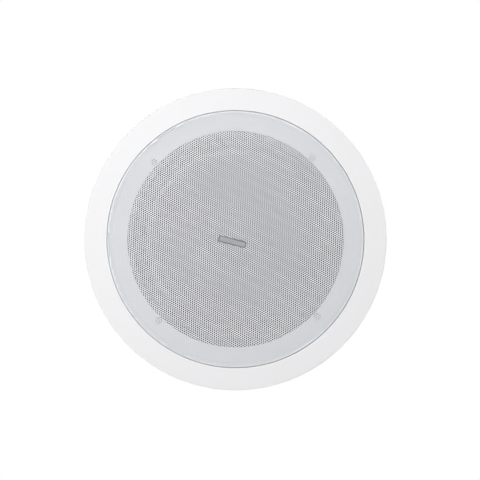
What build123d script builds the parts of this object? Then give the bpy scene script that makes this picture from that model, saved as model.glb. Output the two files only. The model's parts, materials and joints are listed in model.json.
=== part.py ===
from build123d import *
import math
import os

# An in-ceiling loudspeaker, modelled as it hangs: the face looks down and +Z points up into the
# ceiling. The origin is the centre of the bezel's front plane. Sizes are in millimetres and degrees.

# Bezel, one moulding: flange, skirt, baffle ring, grille groove and clip towers
flange_overhang = 13.0
flange_thickness = 4.0
flange_edge_round = 1.5
lip_edge_round = 0.6
skirt_wall = 2.5
skirt_height = 22.0
baffle_depth = 7.0
baffle_thickness = 3.0
rib_width = 1.8
rib_height = 2.5
groove_depth = 1.2
gusset_count = 12
gusset_thickness = 1.6
gusset_height = 11.0
gusset_clearance = 0.8

# Grille pan, pressed into the bezel's groove, and the badge plate on it
grille_reach = 5.9
grille_gap = 0.6
grille_sheet = 0.6
grille_recess = 0.6
grille_edge_round = 0.9
grille_rib_clearance = 0.3
hole_pitch = 16.0
hole_width = 10.2
hole_rim = 1.2
hole_row_angle = 28.9
badge_length = 20.0
badge_width = 5.0
badge_thickness = 0.4
badge_corner = 0.8
badge_x = -2.3
badge_y = 1.6
badge_angle = 15.6

# Screws and nuts of one size, for the driver and for the ears of its basket
screw_diameter = 3.0
screw_clearance = 0.3
screw_spare = 1.5
screw_head_diameter = 5.0
screw_head_height = 2.0
screw_head_land = 0.25
screw_circle_diameter = 156.5
screw_count = 4
first_screw_angle = 45.0
nut_width = 5.5
nut_height = 2.4

# Basket, pressed sheet steel, and the gasket that seals it to the baffle
gasket_thickness = 1.5
gasket_clearance = 0.4
basket_sheet = 1.0
basket_rim = 4.75
basket_wall_depth = 24.5
landing_outer_radius = 46.5
landing_width = 5.0
well_depth = 8.0
well_floor_radius = 36.0
window_count = 4
window_margin = 4.0
window_span = 62.0
window_corner = 4.0

# Ears of the basket that carry the transformer, the terminal block and the driver's tags
ear_corner = 3.0
ear_overlap = 4.5
ear_margin = 1.5

# Moving assembly: surround, cone, dust cap, spider and voice coil
roll_radius = 4.75
roll_sheet = 0.8
chord_count = 8
surround_lip = 3.4
cone_lip = 2.8
cone_paper = 0.8
cone_neck_gap = 2.5
cone_neck_clearance = 0.1
dust_cap_radius = 19.0
dust_cap_rise = 6.5
dust_cap_paper = 0.6
dust_cap_clearance = 0.2
coil_diameter = 25.8
former_wall = 0.3
former_stub = 2.0
winding_wall = 0.6
winding_length = 9.0
spider_sheet = 0.6
spider_wave = 0.7
spider_wave_count = 5
spider_clearance = 0.3

# Magnet motor
pole_clearance = 0.4
gap_clearance = 0.5
plate_radius = 37.5
plate_thickness = 5.0
magnet_radius = 40.0
magnet_bore_radius = 18.0
magnet_height = 13.0
yoke_radius = 34.0
yoke_thickness = 5.0
yoke_dimple_radius = 7.0
yoke_dimple_depth = 1.0
motor_chamfer = 0.8

# Line transformer: core of stacked plates, wound bobbin and strap bracket
core_width = 36.0
core_height = 30.0
core_stack = 16.0
core_leg = 6.0
bobbin_wall = 0.9
bobbin_clearance = 0.3
coil_overhang = 6.0
coil_inset = 0.4
coil_corner = 2.5
strap_sheet = 1.0
strap_foot = 9.0
strap_width = 14.0
transformer_gap = 3.5

# Terminal block: a row of screw clamps moulded in one strip
clamp_count = 3
clamp_pitch = 9.0
block_depth = 16.0
block_base_height = 6.0
block_height = 13.0
block_end = 6.0
block_gap = 3.0
barrel_width = 6.4
barrel_depth = 12.0
clamp_screw_diameter = 3.2
clamp_screw_spacing = 6.0
clamp_screw_sink = 1.5
clamp_screw_height = 4.0
clamp_screw_clearance = 0.3
wire_hole_diameter = 3.4
wire_hole_height = 4.6

# Driver tags: phenolic strip with two brass tags
strip_length = 20.0
strip_width = 9.0
strip_thickness = 1.6
strip_gap = 1.0
tag_length = 12.0
tag_width = 3.0
tag_sheet = 0.5
tag_inset = 3.0
tag_spacing = 10.0

# Sprung clips
clip_sheet = 1.2
clip_width = 20.0
clip_side_gap = 0.4
tower_wall = 2.6
tower_margin = 4.0
bracket_lift = 0.6
pivot_inset = 0.2
pivot_rise = 8.0
pivot_top = 4.5
pin_diameter = 3.0
pin_clearance = 0.05
pin_head_diameter = 5.2
pin_head_height = 0.9
bracket_ear_wall = 1.4
spring_wire = 1.6
spring_turn_count = 4
spring_bore_clearance = 0.7
spring_clearance = 0.4
spring_leg = 13.0
spring_leg_relief = 0.1
spring_leg_gap = 0.05
spring_bend_start = 2.6
spring_bend_end = 5.6
spring_bend_round = 1.0
arm_length = 24.0
arm_rest_angle = -72.0
arm_web_start = 6.0
arm_cheek_straight = 8.0
arm_cheek_end = 14.0
arm_clearance = 0.3
arm_curl_radius = 2.2
rivet_diameter = 2.4
rivet_head_diameter = 3.8
rivet_head_height = 0.9
rivet_clearance = 0.1
rivet_edge = 2.6
rivet_ear_gap = 0.9

# Radii worked out from the sizes above
screw_radius = screw_circle_diameter / 2
screw_hole_radius = screw_diameter / 2 + screw_clearance
opening_radius = screw_radius - screw_head_diameter / 2 - screw_head_land
basket_radius = screw_radius + basket_rim
grille_radius = basket_radius + grille_reach
rib_radius = grille_radius - grille_sheet - grille_rib_clearance
lip_radius = grille_radius + grille_gap
skirt_radius = lip_radius + skirt_wall
skirt_middle = lip_radius + skirt_wall / 2
flange_radius = skirt_radius + flange_overhang
surround_radius = opening_radius - gasket_clearance / 2
gasket_bore_radius = surround_radius + gasket_clearance
basket_mouth_radius = surround_radius - surround_lip
roll_centre_radius = basket_mouth_radius - roll_radius
cone_radius = roll_centre_radius - roll_radius
cone_wall_radius = cone_radius - cone_lip
former_radius = coil_diameter / 2
former_bore_radius = former_radius - former_wall
cone_neck_radius = former_radius + cone_neck_clearance
winding_radius = former_radius + winding_wall
pole_radius = former_bore_radius - pole_clearance
gap_radius = winding_radius + gap_clearance
landing_inner_radius = landing_outer_radius - landing_width

# Heights worked out from the sizes above
flange_back = flange_thickness
skirt_top = flange_back + skirt_height
baffle_back = baffle_depth + baffle_thickness
baffle_middle = baffle_depth + baffle_thickness / 2
groove_floor = baffle_depth + groove_depth
basket_front = baffle_back + gasket_thickness
basket_back = basket_front + basket_sheet
landing_front = basket_front + basket_wall_depth
ear_back = landing_front + basket_sheet
well_front = landing_front + well_depth
plate_front = well_front + basket_sheet
plate_back = plate_front + plate_thickness
magnet_back = plate_back + magnet_height
yoke_back = magnet_back + yoke_thickness
cone_front = basket_front
cone_neck = landing_front - cone_neck_gap
winding_front = (plate_front + plate_back - winding_length) / 2
winding_back = winding_front + winding_length
strap_back = ear_back + strap_sheet
core_back = ear_back + core_height
block_base_back = ear_back + block_base_height
block_back = ear_back + block_height
strip_back = ear_back + strip_thickness
tag_back = strip_back + tag_sheet

# Places of what stands on the ears
transformer_y = -(landing_outer_radius + transformer_gap + coil_overhang + core_stack / 2)
strap_screw_x = core_width / 2 + (strap_sheet + strap_foot) / 2
block_y = landing_outer_radius + block_gap + block_depth / 2
block_screw_x = (clamp_count * clamp_pitch + block_end) / 2
strip_x = -(landing_outer_radius + strip_gap + strip_width / 2)
tag_x = strip_x + strip_width / 2 - tag_inset - tag_length / 2

# Clip places on the +X side, worked out from the sizes above
pin_radius = pin_diameter / 2
pin_hole_radius = pin_radius + pin_clearance
bracket_ear_radius = pin_hole_radius + bracket_ear_wall
coil_bore_radius = pin_radius + spring_bore_clearance
coil_radius = coil_bore_radius + spring_wire
coil_middle_radius = coil_bore_radius + spring_wire / 2
coil_half_length = spring_turn_count * spring_wire / 2
pivot_x = skirt_radius - pivot_inset
bracket_face = pivot_x - coil_radius - spring_clearance
tower_outer = bracket_face - clip_sheet
tower_inner = tower_outer - tower_wall
pivot_z = skirt_top + pivot_rise
tower_top = pivot_z + pivot_top
bracket_foot = skirt_top + bracket_lift
ear_inside = clip_width / 2 - clip_sheet
cheek_outside = ear_inside - clip_side_gap
cheek_inside = cheek_outside - clip_sheet
rivet_y = ear_inside - rivet_ear_gap - rivet_head_diameter / 2
rivet_z = bracket_foot + rivet_edge
web_inner = coil_radius + arm_clearance
web_outer = web_inner + clip_sheet


def turned(section):
    """Solid turned about the speaker's axis from a flat (radius, height) section."""
    return revolve(Plane.XZ * section, Axis.Z)


def polygon(*points):
    """Flat section with straight sides."""
    return make_face(Polyline(*points, close=True))


def ring(inner, outer, low, high, cut=0.0):
    """Ring between two radii and two heights, with its outer edges cut back."""
    outline = [(inner, low), (outer - cut, low), (outer, low + cut), (outer, high - cut)]
    outline += [(outer - cut, high), (inner, high)]
    corners = [point for index, point in enumerate(outline) if point != outline[index - 1]]
    return turned(polygon(*corners))


def rounded(section, corner, radius):
    """The section with the corner nearest to a point rounded off."""
    return fillet(section.vertices().sort_by_distance(Vector(*corner))[0], radius)


def sheet(path, thickness):
    """Flat section of a bent sheet: a path and its mitred copy one thickness to the left."""
    legs = [(Vector(*end) - Vector(*start)).normalized() for start, end in zip(path, path[1:])]
    normals = [Vector(-leg.Y, leg.X) for leg in legs]
    copies = []
    for index, point in enumerate(path):
        before = normals[max(index - 1, 0)]
        after = normals[min(index, len(normals) - 1)]
        mitre = (before + after) * (thickness / (1 + before.dot(after)))
        copies.append(Vector(*point) + mitre)
    return polygon(*path, *[(copy.X, copy.Y) for copy in reversed(copies)])


def bow(centre, radius, start, end, count):
    """Points along a round stretch, from one angle to another, in a number of even chords."""
    turns = [math.radians(start + (end - start) * index / count) for index in range(count + 1)]
    return [(centre[0] + radius * math.cos(turn), centre[1] + radius * math.sin(turn)) for turn in turns]


def block(x_limits, y_limits, z_limits):
    """Box between two limits on each axis."""
    limits = (x_limits, y_limits, z_limits)
    middle = [(low + high) / 2 for low, high in limits]
    return Pos(*middle) * Box(*[high - low for low, high in limits])


def post(radius, low, high):
    """Upright round post between two heights."""
    return Pos(0, 0, (low + high) / 2) * Cylinder(radius, high - low)


def rod(radius, start, end):
    """Straight round rod between two points."""
    axis = Vector(*end) - Vector(*start)
    return extrude(Plane(origin=start, z_dir=axis) * Circle(radius), axis.length)


def group(solids):
    """Several like solids as one node."""
    return Compound(list(solids))


def screw_circle():
    """Places of the driver's screws."""
    return PolarLocations(screw_radius, screw_count, first_screw_angle)


def strap_screw_places():
    """Places of the two screws through the transformer's feet."""
    return [Pos(x, transformer_y, 0) for x in (-strap_screw_x, strap_screw_x)]


def block_screw_places():
    """Places of the two screws through the terminal block's ends."""
    return [Pos(x, block_y, 0) for x in (-block_screw_x, block_screw_x)]


def pan_screw(seat, end):
    """Pan-head screw whose head sits on a seat and whose shank runs on past it to an end."""
    top = seat + math.copysign(screw_head_height, seat - end)
    rim = screw_head_diameter / 2
    shank = screw_diameter / 2
    flat = rim - screw_head_height / 2
    head = [(0, top), (flat, top), (rim, (seat + top) / 2), (rim, seat)]
    return turned(polygon(*head, (shank, seat), (shank, end), (0, end)))


def nut(low):
    """Hexagon nut that lies on a height."""
    outline = RegularPolygon(nut_width / 2, 6, major_radius=False) - Circle(screw_hole_radius)
    return Pos(0, 0, low) * extrude(outline, nut_height)


def rivet_places():
    """Y places of the two rivets through a clip tower."""
    return [-rivet_y, rivet_y]


def bezel():
    """Flange, skirt, baffle ring and grille groove in one moulding, with gussets and clip towers."""
    rib_inner = rib_radius - rib_width
    section = polygon(
        (opening_radius, baffle_depth),
        (rib_inner, baffle_depth),
        (rib_inner, baffle_depth - rib_height),
        (rib_radius, baffle_depth - rib_height),
        (rib_radius, groove_floor),
        (lip_radius, groove_floor),
        (lip_radius, 0),
        (flange_radius, 0),
        (flange_radius, flange_back),
        (skirt_radius, flange_back),
        (skirt_radius, skirt_top),
        (lip_radius, skirt_top),
        (lip_radius, baffle_back),
        (opening_radius, baffle_back),
    )
    section = rounded(section, (lip_radius, 0), lip_edge_round)
    section = rounded(section, (flange_radius, 0), flange_edge_round)
    body = turned(section)
    gusset_foot = basket_radius + gusset_clearance
    web = polygon(
        (gusset_foot, baffle_middle),
        (skirt_middle, baffle_middle),
        (skirt_middle, baffle_back + gusset_height),
        (lip_radius, baffle_back + gusset_height),
        (gusset_foot, baffle_back),
    )
    gusset = extrude(Plane.XZ * web, gusset_thickness / 2, both=True)
    step = 360.0 / gusset_count
    body += [Rot(0, 0, step * (index + 0.5)) * gusset for index in range(gusset_count)]
    side = clip_width / 2 + tower_margin
    foot = block((tower_inner, skirt_radius), (-side, side), (baffle_middle, skirt_top))
    foot &= post(skirt_middle, 0, tower_top)
    tower = foot + block((tower_inner, tower_outer), (-side, side), (baffle_middle, tower_top))
    for y in rivet_places():
        tower -= rivet_hole(y)
    body += [tower, Rot(0, 0, 180) * tower]
    body -= screw_circle() * post(screw_hole_radius, 0, basket_front)
    return body


def grille():
    """Pan of perforated sheet: flat face, rounded edge and a skirt that stands in the groove."""
    face_radius = grille_radius - grille_edge_round - hole_rim
    inside_corner = (grille_radius - grille_sheet, grille_recess + grille_sheet)
    path = [(face_radius, grille_recess), (grille_radius, grille_recess), (grille_radius, groove_floor)]
    section = sheet(path, grille_sheet)
    section = rounded(section, (grille_radius, grille_recess), grille_edge_round)
    section = rounded(section, inside_corner, grille_edge_round - grille_sheet)
    hole = RegularPolygon(hole_width / 2, 6, major_radius=False, rotation=30)
    reach = face_radius - hole_width / math.sqrt(3)
    rows = math.ceil(2 * reach / hole_pitch)
    places = []
    for i in range(-rows, rows + 1):
        for j in range(-rows, rows + 1):
            x = hole_pitch * (i + j / 2)
            y = hole_pitch * j * math.sqrt(3) / 2
            if math.hypot(x, y) <= reach:
                places.append(Pos(x, y))
    disc = Circle(face_radius) - [place * hole for place in places]
    face = Pos(0, 0, grille_recess) * extrude(disc, grille_sheet)
    return turned(section) + Rot(0, 0, hole_row_angle) * face


def badge_plate():
    """Bare plate on the middle of the grille, a little turned and off centre."""
    outline = fillet(Rectangle(badge_length, badge_width).vertices(), badge_corner)
    plate = Rot(0, 0, badge_angle) * extrude(outline, badge_thickness)
    return Pos(badge_x, badge_y, grille_recess - badge_thickness) * plate


def driver_screws():
    end = basket_back + nut_height + screw_spare
    return group(screw_circle() * pan_screw(baffle_depth, end))


def driver_nuts():
    return group(screw_circle() * nut(basket_back))


def front_gasket():
    body = ring(gasket_bore_radius, basket_radius, baffle_back, basket_front)
    return body - screw_circle() * post(screw_hole_radius, 0, basket_back)


def ear(load_width, load_reach, angle):
    """Flat ear of the basket, a margin larger than what it carries, turned from -Y by an angle."""
    start = landing_outer_radius - ear_overlap
    width = load_width + 2 * ear_margin
    reach = load_reach + ear_margin
    outline = Pos(0, -(start + reach) / 2) * Rectangle(width, reach - start)
    outline = fillet(outline.vertices().sort_by(Axis.Y)[0:2], ear_corner)
    return Rot(0, 0, angle) * Pos(0, 0, landing_front) * extrude(outline, basket_sheet)


def basket():
    """Pressed bowl with a rim, windowed wall, landing for the spider, well and three ears."""
    path = [
        (gap_radius + basket_sheet, well_front),
        (well_floor_radius, well_front),
        (landing_inner_radius, landing_front),
        (landing_outer_radius, landing_front),
        (basket_mouth_radius, basket_front),
        (basket_radius, basket_front),
    ]
    body = turned(sheet(path, basket_sheet))
    inner = landing_outer_radius + window_margin
    outer = basket_mouth_radius - window_margin
    side = math.tan(math.radians(window_span / 2))
    wedge = polygon((0, 0), (outer, -outer * side), (2 * outer, 0), (outer, outer * side))
    corner = min(window_corner, (outer - inner) / 3)
    opening = fillet(((Circle(outer) - Circle(inner)) & wedge).vertices(), corner)
    window = Pos(0, 0, basket_back) * extrude(opening, landing_front - basket_back)
    step = 360.0 / window_count
    body -= [Rot(0, 0, step * index) * window for index in range(window_count)]
    strap_width_all = core_width + 2 * strap_foot
    block_width_all = 2 * block_screw_x + block_end
    body += ear(strap_width_all, core_stack / 2 - transformer_y, 0)
    body += ear(block_width_all, block_depth / 2 + block_y, 180)
    body += ear(strip_length, strip_width / 2 - strip_x, 270)
    body -= screw_circle() * post(screw_hole_radius, basket_front, landing_front)
    ear_hole = post(screw_hole_radius, landing_front, ear_back)
    body -= [place * ear_hole for place in strap_screw_places() + block_screw_places()]
    return body


def surround():
    """Half roll of rubber with a flat lip on the basket and one on the cone."""
    height = basket_front - roll_sheet
    path = [(cone_wall_radius, height)]
    path += bow((roll_centre_radius, height), roll_radius, 180, 360, chord_count)
    path += [(surround_radius, height)]
    return turned(sheet(path, roll_sheet))


def cone():
    """Paper cone with a flat glue lip at its rim."""
    path = [
        (cone_neck_radius, cone_neck),
        (cone_wall_radius, cone_front),
        (cone_radius, cone_front),
    ]
    return turned(sheet(path, cone_paper))


def cone_face(radius):
    """Height of the cone's front face at a radius."""
    share = (cone_wall_radius - radius) / (cone_wall_radius - cone_neck_radius)
    return cone_front + share * (cone_neck - cone_front)


def dust_cap():
    """Shallow dome that covers the neck of the cone."""
    foot = cone_face(dust_cap_radius) - dust_cap_clearance - dust_cap_paper / 2
    ball = (dust_cap_radius**2 + dust_cap_rise**2) / (2 * dust_cap_rise)
    centre = (0, foot - dust_cap_rise + ball)
    edge = math.degrees(math.asin(dust_cap_radius / ball))
    front = bow(centre, ball, -90, edge - 90, chord_count)
    back = bow(centre, ball - dust_cap_paper, edge - 90, -90, chord_count)
    return turned(polygon(*front, *back))


def spider():
    """Corrugated cloth disc from the coil former to its flat lip on the basket's landing."""
    height = landing_front - spider_sheet
    lip_outer = landing_outer_radius - spider_clearance
    lip_inner = landing_inner_radius - spider_clearance
    start = former_radius + spider_clearance
    step = (lip_inner - start) / (2 * spider_wave_count)
    path = [(start, height)]
    for index in range(1, 2 * spider_wave_count):
        path.append((start + index * step, height - spider_wave * (-1) ** index))
    path += [(lip_inner, height), (lip_outer, height)]
    return turned(sheet(path, spider_sheet))


def voice_coil_former():
    return ring(former_bore_radius, former_radius, cone_neck - former_stub, winding_back)


def voice_coil_winding():
    return ring(former_radius, winding_radius, winding_front, winding_back)


def top_plate():
    return ring(gap_radius, plate_radius, plate_front, plate_back, motor_chamfer)


def ring_magnet():
    return ring(magnet_bore_radius, magnet_radius, plate_back, magnet_back, motor_chamfer)


def yoke():
    """Back plate and pole in one forging, with the shallow dimple that the press leaves."""
    section = polygon(
        (0, plate_front),
        (pole_radius, plate_front),
        (pole_radius, magnet_back),
        (yoke_radius, magnet_back),
        (yoke_radius, yoke_back - motor_chamfer),
        (yoke_radius - motor_chamfer, yoke_back),
        (yoke_dimple_radius, yoke_back),
        (yoke_dimple_radius - yoke_dimple_depth, yoke_back - yoke_dimple_depth),
        (0, yoke_back - yoke_dimple_depth),
    )
    return turned(section)


def transformer_window(height_clearance):
    """Low and high ends of the core's two windows, less a clearance."""
    return ear_back + core_leg + height_clearance, core_back - core_leg - height_clearance


def transformer_core():
    """Stack of E and I plates: an outer frame round a middle leg."""
    low, high = transformer_window(0)
    half = core_width / 2
    stack = (transformer_y - core_stack / 2, transformer_y + core_stack / 2)
    body = block((-half, half), stack, (ear_back, core_back))
    for side in (-1, 1):
        edges = sorted((side * core_leg, side * (half - core_leg)))
        body -= block(edges, stack, (low, high))
    return body


def transformer_bobbin():
    """Moulded tube on the core's middle leg with a flange at each end."""
    low, high = transformer_window(bobbin_clearance)
    tube_x = core_leg + bobbin_clearance
    tube_y = core_stack / 2 + bobbin_clearance
    flange_x = core_width / 2 - core_leg - bobbin_clearance
    flange_y = core_stack / 2 + coil_overhang
    tube = Rectangle(2 * (tube_x + bobbin_wall), 2 * (tube_y + bobbin_wall))
    flange = Rectangle(2 * flange_x, 2 * flange_y)
    body = Pos(0, 0, low) * extrude(tube, high - low)
    for height in (low, high - bobbin_wall):
        body += Pos(0, 0, height) * extrude(flange, bobbin_wall)
    body -= Pos(0, 0, low) * extrude(Rectangle(2 * tube_x, 2 * tube_y), high - low)
    return Pos(0, transformer_y, 0) * body


def transformer_winding():
    """Taped coil between the bobbin's flanges."""
    low, high = transformer_window(bobbin_clearance + bobbin_wall)
    inner_x = core_leg + bobbin_clearance + bobbin_wall
    inner_y = core_stack / 2 + bobbin_clearance + bobbin_wall
    outer_x = core_width / 2 - core_leg - bobbin_clearance - coil_inset
    outer_y = core_stack / 2 + coil_overhang - coil_inset
    outline = fillet(Rectangle(2 * outer_x, 2 * outer_y).vertices(), coil_corner)
    outline -= Rectangle(2 * inner_x, 2 * inner_y)
    return Pos(0, transformer_y, low) * extrude(outline, high - low)


def transformer_bracket():
    """Steel strap over the core with a foot on the ear at each side."""
    half = core_width / 2
    end = half + strap_foot
    path = [(-end, ear_back), (-half, ear_back), (-half, core_back)]
    path += [(half, core_back), (half, ear_back), (end, ear_back)]
    strap = Plane.XZ * sheet(path, strap_sheet)
    body = Pos(0, transformer_y, 0) * extrude(strap, strap_width / 2, both=True)
    return body - [place * post(screw_hole_radius, ear_back, strap_back) for place in strap_screw_places()]


def transformer_screws():
    screw = pan_screw(strap_back, landing_front - nut_height - screw_spare)
    return group(place * screw for place in strap_screw_places())


def block_screws():
    screw = pan_screw(block_base_back, landing_front - nut_height - screw_spare)
    return group(place * screw for place in block_screw_places())


def ear_nuts():
    places = strap_screw_places() + block_screw_places()
    return group(place * nut(landing_front - nut_height) for place in places)


def clamp_places():
    """Middles of the terminal block's clamps."""
    first = -clamp_pitch * (clamp_count - 1) / 2
    return [Pos(first + index * clamp_pitch, block_y, 0) for index in range(clamp_count)]


def clamp_screw_places():
    """Places of the two screws in each clamp."""
    sides = (-clamp_screw_spacing / 2, clamp_screw_spacing / 2)
    return [place * Pos(0, side, 0) for place in clamp_places() for side in sides]


def terminal_block():
    """Strip base with a barrel for each clamp, screw wells from above and wire holes through."""
    half = block_screw_x + block_end / 2
    depth = (block_y - block_depth / 2, block_y + block_depth / 2)
    body = block((-half, half), depth, (ear_back, block_base_back))
    barrel_x = (-barrel_width / 2, barrel_width / 2)
    barrel_y = (-barrel_depth / 2, barrel_depth / 2)
    barrel = block(barrel_x, barrel_y, (ear_back, block_back))
    body += [place * barrel for place in clamp_places()]
    well_floor = block_back - clamp_screw_sink - clamp_screw_height
    well = post(clamp_screw_diameter / 2 + clamp_screw_clearance, well_floor, block_back)
    body -= [place * well for place in clamp_screw_places()]
    hole_z = ear_back + wire_hole_height
    wire_hole = rod(wire_hole_diameter / 2, (0, -block_depth / 2, hole_z), (0, block_depth / 2, hole_z))
    body -= [place * wire_hole for place in clamp_places()]
    body -= [place * post(screw_hole_radius, ear_back, block_back) for place in block_screw_places()]
    return body


def terminal_screws():
    top = block_back - clamp_screw_sink
    screw = post(clamp_screw_diameter / 2, top - clamp_screw_height, top)
    return group(place * screw for place in clamp_screw_places())


def tag_strip():
    limits_x = (strip_x - strip_width / 2, strip_x + strip_width / 2)
    return block(limits_x, (-strip_length / 2, strip_length / 2), (ear_back, strip_back))


def solder_tags():
    tag = block((-tag_length / 2, tag_length / 2), (-tag_width / 2, tag_width / 2), (strip_back, tag_back))
    return group(Pos(tag_x, side * tag_spacing / 2, 0) * tag for side in (-1, 1))


def arm_plane():
    """Plane of the +X clip arm: its first axis runs from the pivot to the tip, its second outwards."""
    turn = math.radians(arm_rest_angle)
    along = (math.cos(turn), 0, math.sin(turn))
    return Plane(origin=(pivot_x, 0, pivot_z), x_dir=along, z_dir=(0, -1, 0))


def arm_cheek_drop():
    """How far a cheek reaches inwards from the pivot's line before it meets the skirt's rim."""
    rim_x = math.sqrt(skirt_radius**2 - cheek_inside**2)
    turn = math.radians(arm_rest_angle)
    room = (rim_x - pivot_x) * math.sin(turn) - (skirt_top - pivot_z) * math.cos(turn)
    return room - arm_clearance


def clip_arm():
    """Bent steel arm: two cheeks on the pin, a flat web and a curled tip."""
    drop = arm_cheek_drop()
    cheek = polygon(
        (0, -drop),
        (arm_cheek_straight, -drop),
        (arm_cheek_end, web_inner),
        (arm_cheek_end, web_outer),
        (arm_web_start, web_outer),
        (0, bracket_ear_radius),
    )
    cheek += Circle(bracket_ear_radius)
    cheek -= Circle(pin_hole_radius)
    curl = Circle(arm_curl_radius) - Circle(arm_curl_radius - clip_sheet)
    web = polygon(
        (arm_web_start, web_inner),
        (arm_length, web_inner),
        (arm_length, web_outer),
        (arm_web_start, web_outer),
    )
    web += Pos(arm_length, web_outer - arm_curl_radius) * curl
    plane = arm_plane()
    body = extrude(plane * web, cheek_outside, both=True)
    for low in (cheek_inside, -cheek_outside):
        body += extrude(plane.offset(low) * cheek, clip_sheet)
    return body


def clip_spring():
    """Close-wound coil on the pin, one leg down the bracket and one bent over the arm's web."""
    notch = coil_radius - spring_wire / 4
    outline = [(coil_bore_radius, -coil_half_length)]
    for index in range(spring_turn_count):
        start = -coil_half_length + index * spring_wire
        outline += [(notch, start), (coil_radius, start + spring_wire / 3)]
        outline += [(coil_radius, start + 2 * spring_wire / 3)]
    outline += [(notch, coil_half_length), (coil_bore_radius, coil_half_length)]
    coil = Pos(pivot_x, 0, pivot_z) * Rot(90, 0, 0) * turned(polygon(*outline))
    side = coil_half_length - spring_wire / 2
    leg_radius = spring_wire / 2 - spring_leg_relief
    over = web_outer + leg_radius + spring_leg_gap
    bends = [(0, coil_middle_radius), (spring_bend_start, coil_middle_radius)]
    bends += [(spring_bend_end, over), (spring_leg, over)]
    plane = arm_plane()
    line = FilletPolyline(*[plane.from_local_coords((*bend, -side)) for bend in bends], radius=spring_bend_round)
    arm_leg = sweep(Plane(origin=line @ 0, z_dir=line % 0) * Circle(leg_radius), path=line)
    fixed_x = pivot_x - coil_middle_radius
    fixed_leg = rod(leg_radius, (fixed_x, -side, pivot_z), (fixed_x, -side, bracket_foot + leg_radius))
    return coil + arm_leg + fixed_leg


def clip_bracket():
    """Steel channel on the tower: a base plate with two ears that hold the pin."""
    half = clip_width / 2
    base = block((tower_outer, bracket_face), (-half, half), (bracket_foot, tower_top))
    low_x = (tower_outer + pivot_x) / 2
    outline = Pos(low_x, pivot_z) * Rectangle(pivot_x - tower_outer, 2 * bracket_ear_radius)
    outline += Pos(pivot_x, pivot_z) * Circle(bracket_ear_radius)
    outline -= Pos(pivot_x, pivot_z) * Circle(pin_hole_radius)
    for low in (ear_inside, -half):
        base += extrude(Plane.XZ.offset(low) * outline, clip_sheet)
    for y in rivet_places():
        base -= rivet_hole(y)
    return base


def clip_pin():
    """Pivot pin with a head outside each ear of the bracket."""
    half = clip_width / 2
    places = [(pivot_x, y, pivot_z) for y in (-half - pin_head_height, -half, half, half + pin_head_height)]
    body = rod(pin_radius, places[1], places[2])
    for start, end in (places[0:2], places[2:4]):
        body += rod(pin_head_diameter / 2, start, end)
    return body


def rivet_hole(y):
    """Hole for one rivet through the +X tower and bracket."""
    return rod(rivet_diameter / 2 + rivet_clearance, (tower_inner, y, rivet_z), (bracket_face, y, rivet_z))


def clip_rivet(y):
    """Rivet through the +X tower and bracket, with a head at each end."""
    heads = [(tower_inner - rivet_head_height, tower_inner), (bracket_face, bracket_face + rivet_head_height)]
    body = rod(rivet_diameter / 2, (tower_inner, y, rivet_z), (bracket_face, y, rivet_z))
    for low, high in heads:
        body += rod(rivet_head_diameter / 2, (low, y, rivet_z), (high, y, rivet_z))
    return body


def clip_rivets():
    pair = [clip_rivet(y) for y in rivet_places()]
    return group([Rot(0, 0, angle) * rivet for angle in (0, 180) for rivet in pair])


nodes = {
    "bezel": bezel(),
    "grille": grille(),
    "badge_plate": badge_plate(),
    "driver_screws": driver_screws(),
    "driver_nuts": driver_nuts(),
    "front_gasket": front_gasket(),
    "basket": basket(),
    "surround": surround(),
    "cone": cone(),
    "dust_cap": dust_cap(),
    "spider": spider(),
    "voice_coil_former": voice_coil_former(),
    "voice_coil_winding": voice_coil_winding(),
    "top_plate": top_plate(),
    "ring_magnet": ring_magnet(),
    "yoke": yoke(),
    "transformer_core": transformer_core(),
    "transformer_bobbin": transformer_bobbin(),
    "transformer_winding": transformer_winding(),
    "transformer_bracket": transformer_bracket(),
    "transformer_screws": transformer_screws(),
    "block_screws": block_screws(),
    "ear_nuts": ear_nuts(),
    "terminal_block": terminal_block(),
    "terminal_screws": terminal_screws(),
    "tag_strip": tag_strip(),
    "solder_tags": solder_tags(),
    "clip_rivets": clip_rivets(),
}
for side, angle in (("right", 0), ("left", 180)):
    turn = Rot(0, 0, angle)
    nodes[f"clip_bracket_{side}"] = turn * clip_bracket()
    nodes[f"clip_pin_{side}"] = turn * clip_pin()
    nodes[f"clip_spring_{side}"] = turn * clip_spring()
    nodes[f"clip_arm_{side}"] = turn * clip_arm()

os.makedirs("parts", exist_ok=True)
for name, shape in nodes.items():
    export_step(shape, f"parts/{name}.step")
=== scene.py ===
import json
import math

import bpy
import numpy as np
from mathutils import Matrix, Vector

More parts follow.
